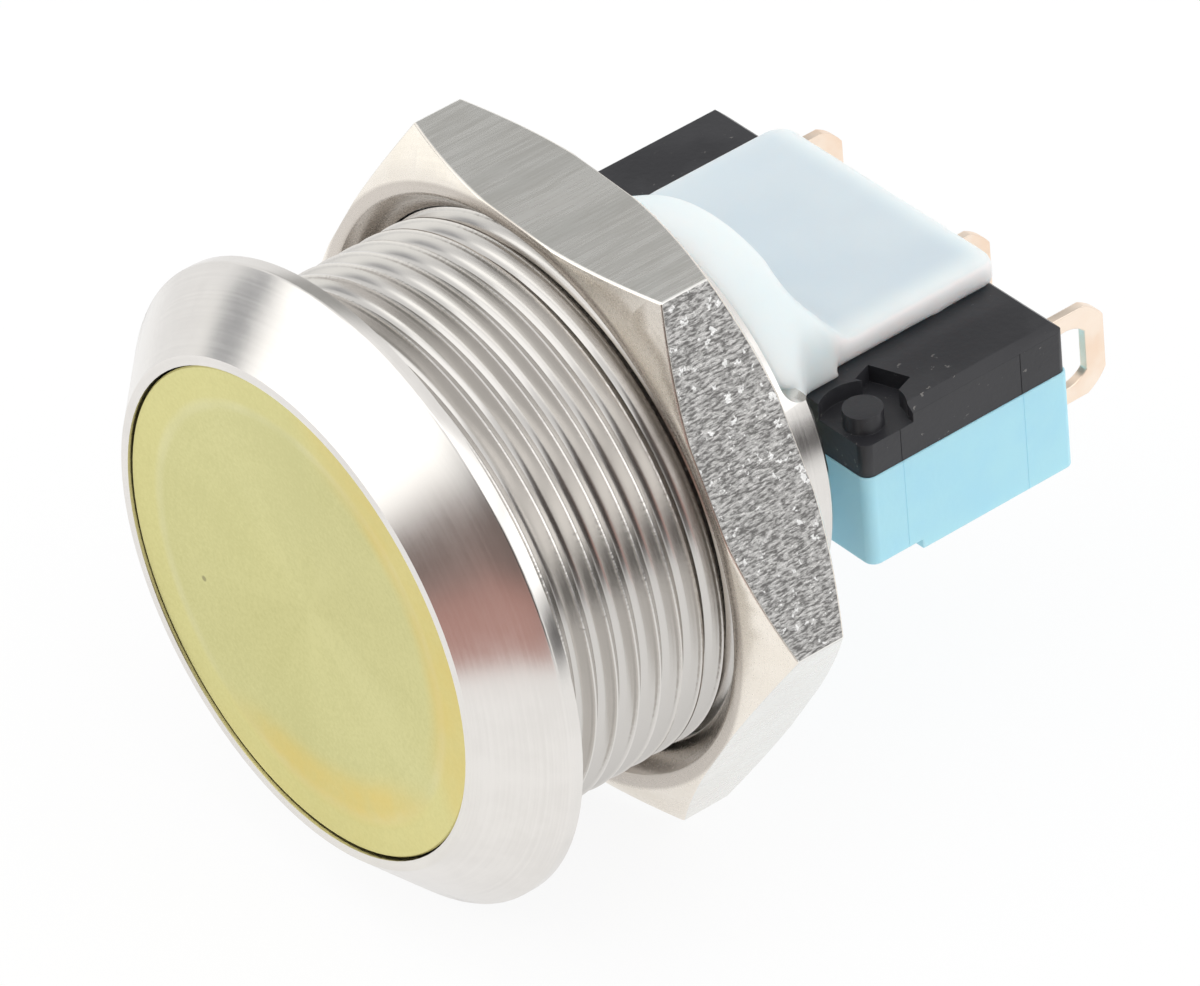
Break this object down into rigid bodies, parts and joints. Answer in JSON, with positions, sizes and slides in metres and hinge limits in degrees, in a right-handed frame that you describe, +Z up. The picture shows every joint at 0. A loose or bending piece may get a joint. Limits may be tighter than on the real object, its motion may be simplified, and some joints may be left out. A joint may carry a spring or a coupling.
{
  "type": "anti vandal push button",
  "caption": "Metal push button for a round panel hole, with a conical flange, a panel nut and a snap-action switch with solder terminals behind it.",
  "frame": {"origin": "centre of the flange's seat, on the barrel's axis, where the panel's front face lies", "axes": "+Y along the barrel, from the button to the solder terminals; +Z up, from the switch's base to its cover; +X towards the switch's normally closed end"},
  "size_m": [0.0286, 0.0334, 0.026],
  "materials": {
    "bushing_steel": "turned, satin",
    "button_anodised": "satin anodised, yellow green",
    "seal_rubber": "matt",
    "spring_steel": "drawn wire",
    "ring_steel": "blackened",
    "pusher_plastic": "natural, moulded",
    "nut_steel": "milled faces, plated",
    "holder_nylon": "natural nylon, milky",
    "base_plastic": "light blue, moulded",
    "cover_plastic": "black, moulded",
    "plunger_plastic": "moulded",
    "terminal_copper": "bare copper alloy, rolled",
    "blade_copper": "spring bronze leaf",
    "contact_silver": "silver alloy",
    "rivet_brass": "plain"
  },
  "bodies": {
    "housing": {"bushing": "bushing_steel", "switch_holder": "holder_nylon", "switch_base": "base_plastic", "switch_cover": "cover_plastic", "terminal_common": "terminal_copper", "terminal_normally_open": "terminal_copper", "terminal_normally_closed": "terminal_copper", "fixed_contact_normally_closed": "contact_silver", "fixed_contact_normally_open": "contact_silver", "blade_rivet": "rivet_brass", "return_spring": "spring_steel"},
    "button": {"push_button": "button_anodised", "button_seal": "seal_rubber", "retaining_ring": "ring_steel", "stem_pusher": "pusher_plastic"},
    "plunger": {"switch_plunger": "plunger_plastic"},
    "blade": {"moving_blade": "blade_copper", "snap_spring": "blade_copper", "moving_contact": "contact_silver"},
    "nut": {"panel_nut": "nut_steel"}
  },
  "joints": [
    {"name": "button_press", "type": "slide", "parent": "housing", "child": "button", "axis": [0, 1, 0], "range_m": [0, 0.0011], "stiffness_N_per_m": 600, "springref_m": -0.0035, "deforming": ["return_spring"]},
    {"name": "plunger_press", "type": "slide", "parent": "housing", "child": "plunger", "axis": [0, 1, 0], "range_m": [0, 0.0011]},
    {"name": "blade_swing", "type": "hinge", "parent": "housing", "child": "blade", "pos_m": [-0.0077, 0.01935, -0.00109], "axis": [0, 0, 1], "range_deg": [0, 3.78]},
    {"name": "nut_travel", "type": "slide", "parent": "housing", "child": "nut", "axis": [0, 1, 0], "range_m": [-0.00764, 0.004]}
  ],
  "couplings": [
    {"joint": "plunger_press", "follows": "button_press", "ratio": 1},
    {"joint": "blade_swing", "follows": "button_press", "rad_per_m": 59.9}
  ]
}
